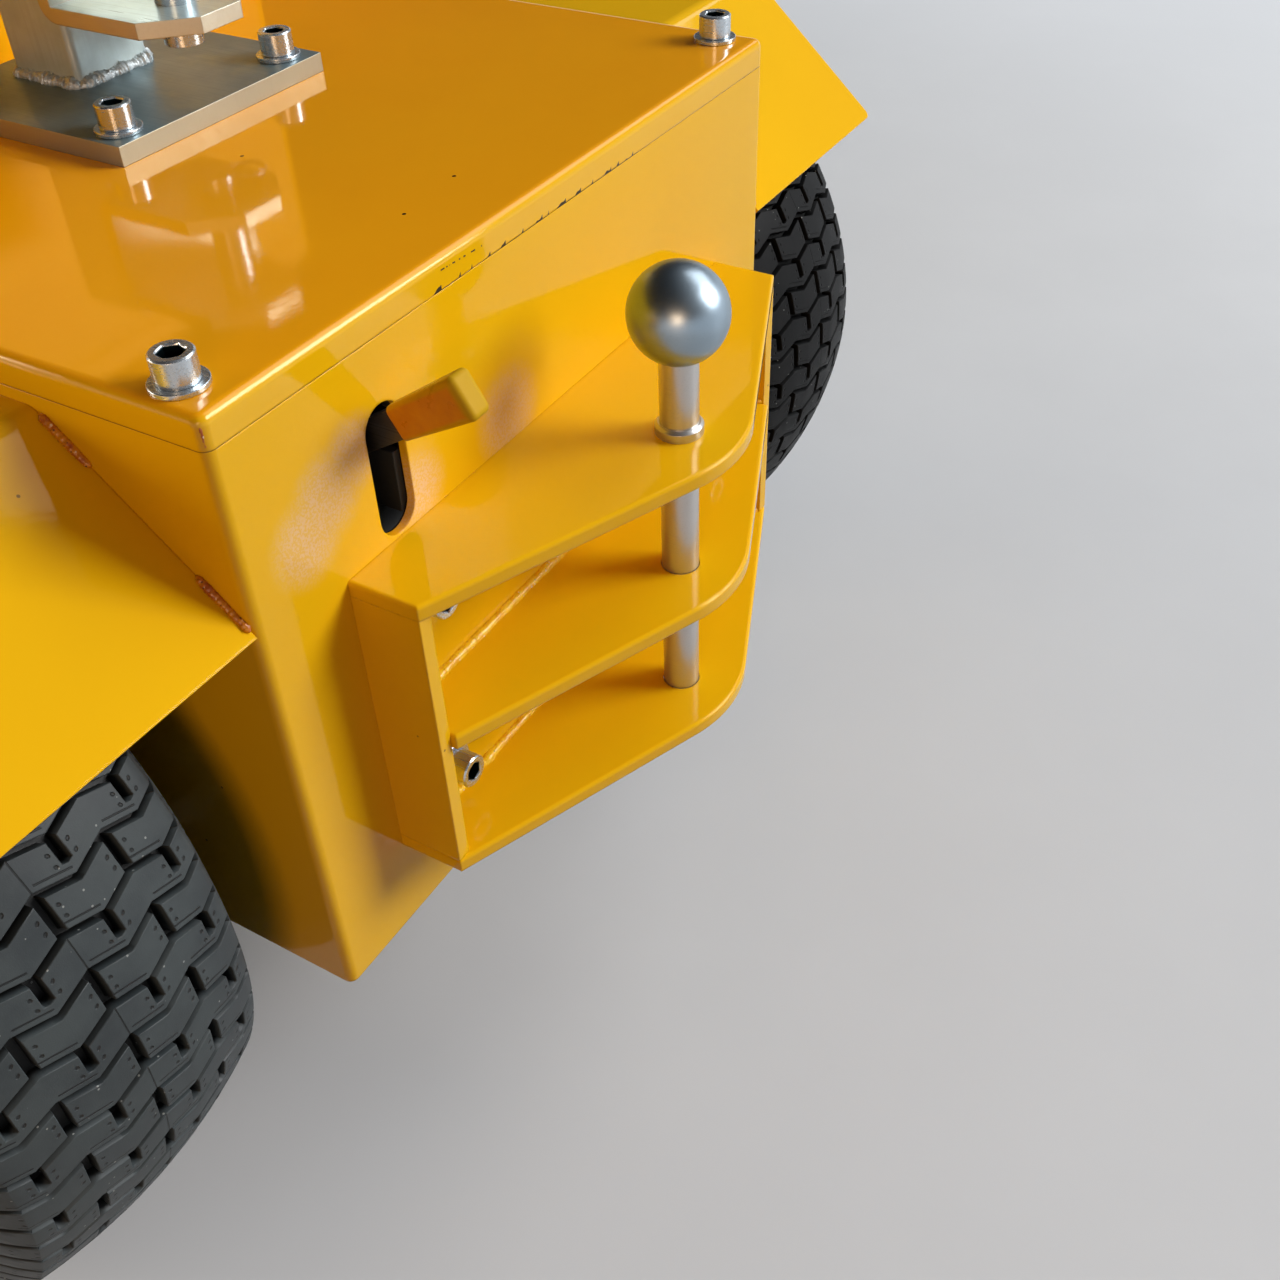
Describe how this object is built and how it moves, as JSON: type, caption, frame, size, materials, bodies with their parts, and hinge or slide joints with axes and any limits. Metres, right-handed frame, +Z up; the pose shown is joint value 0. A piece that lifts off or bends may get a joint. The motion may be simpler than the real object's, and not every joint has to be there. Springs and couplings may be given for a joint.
{
  "type": "walk-behind airport tow tractor",
  "caption": "Walk-behind electric tow tractor: turf tyres under bent fenders, a plate hitch with a drop pin, hinged hood, tiller and swivel casters.",
  "frame": {"origin": "on the floor, below the middle of the whole machine", "axes": "+X forward, towards the tiller; +Y left; +Z up"},
  "size_m": [1.0758, 0.8582, 1.2333],
  "materials": {
    "yellow_paint": "glossy powder coat",
    "galvanised": "zinc plated, satin",
    "pin_steel": "satin",
    "dark_steel": "black oxide",
    "black_paint": "satin",
    "tyre_rubber": "matt",
    "soft_rubber": "matt",
    "grip_vinyl": "translucent, glossy",
    "black_plastic": "fine grain",
    "red_plastic": "glossy",
    "rim_paint": "silver lacquer",
    "battery_case": "matt",
    "caster_rubber": "matt",
    "core_plastic": "matt"
  },
  "bodies": {
    "chassis": {"chassis_housing": "yellow_paint", "deck_lid": "yellow_paint", "hood_floor": "yellow_paint", "hitch_frame": "yellow_paint", "hitch_plate_top": "yellow_paint", "hitch_plate_middle": "yellow_paint", "hitch_plate_bottom": "yellow_paint", "release_lever": "galvanised", "lever_grip": "grip_vinyl", "lever_bracket": "dark_steel", "axle_housing": "dark_steel", "drive_motor": "black_paint", "battery_tray": "black_paint", "battery_pack": "battery_case", "deck_base_plate": "galvanised", "deck_post": "galvanised", "deck_clevis": "galvanised", "clevis_pin": "galvanised", "clevis_ring": "galvanised", "hood_case": "yellow_paint", "hood_hinges": "galvanised", "tiller_bracket": "yellow_paint", "tiller_buffer": "soft_rubber", "front_bumper": "black_paint", "emergency_stop": "red_plastic", "control_panel": "black_plastic", "fender_left": "yellow_paint", "fender_right": "yellow_paint", "caster_plate_left": "galvanised", "caster_plate_right": "galvanised"},
    "hood_lid": {"hood_lid": "yellow_paint", "lid_pull": "black_paint"},
    "tow_pin": {"tow_pin": "pin_steel", "tow_pin_ball": "pin_steel"},
    "tiller": {"tiller_arm": "yellow_paint", "tiller_head": "black_plastic", "tiller_bar": "black_paint", "hand_grips": "soft_rubber"},
    "drive_wheel_left": {"drive_tyre_left": "tyre_rubber", "drive_rim_left": "rim_paint", "drive_hub_left": "dark_steel"},
    "caster_left": {"caster_fork_left": "galvanised"},
    "caster_wheel_left": {"caster_tread_left": "caster_rubber", "caster_core_left": "core_plastic"},
    "drive_wheel_right": {"drive_tyre_right": "tyre_rubber", "drive_rim_right": "rim_paint", "drive_hub_right": "dark_steel"},
    "caster_right": {"caster_fork_right": "galvanised"},
    "caster_wheel_right": {"caster_tread_right": "caster_rubber", "caster_core_right": "core_plastic"}
  },
  "joints": [
    {"name": "drive_wheel_left_spin", "type": "hinge", "parent": "chassis", "child": "drive_wheel_left", "pos_m": [-0.20608, 0.3466, 0.229], "axis": [0, 1, 0], "continuous": true},
    {"name": "caster_left_swivel", "type": "hinge", "parent": "chassis", "child": "caster_left", "pos_m": [0.32692, 0.162, 0.268], "axis": [0, 0, 1], "continuous": true},
    {"name": "caster_wheel_left_spin", "type": "hinge", "parent": "caster_left", "child": "caster_wheel_left", "pos_m": [0.28492, 0.162, 0.1], "axis": [0, 1, 0], "continuous": true},
    {"name": "drive_wheel_right_spin", "type": "hinge", "parent": "chassis", "child": "drive_wheel_right", "pos_m": [-0.20608, -0.3466, 0.229], "axis": [0, 1, 0], "continuous": true},
    {"name": "caster_right_swivel", "type": "hinge", "parent": "chassis", "child": "caster_right", "pos_m": [0.32692, -0.162, 0.268], "axis": [0, 0, 1], "continuous": true},
    {"name": "caster_wheel_right_spin", "type": "hinge", "parent": "caster_right", "child": "caster_wheel_right", "pos_m": [0.28492, -0.162, 0.1], "axis": [0, 1, 0], "continuous": true},
    {"name": "hood_lid_open", "type": "hinge", "parent": "chassis", "child": "hood_lid", "pos_m": [-0.07008, 0, 0.6765], "axis": [0, -1, 0], "range_deg": [0, 100]},
    {"name": "tiller_tilt", "type": "hinge", "parent": "chassis", "child": "tiller", "pos_m": [0.51092, 0, 0.523], "axis": [0, 1, 0], "range_deg": [0, 80]},
    {"name": "tow_pin_lift", "type": "slide", "parent": "chassis", "child": "tow_pin", "axis": [0, 0, 1], "range_m": [0, 0.18]}
  ]
}
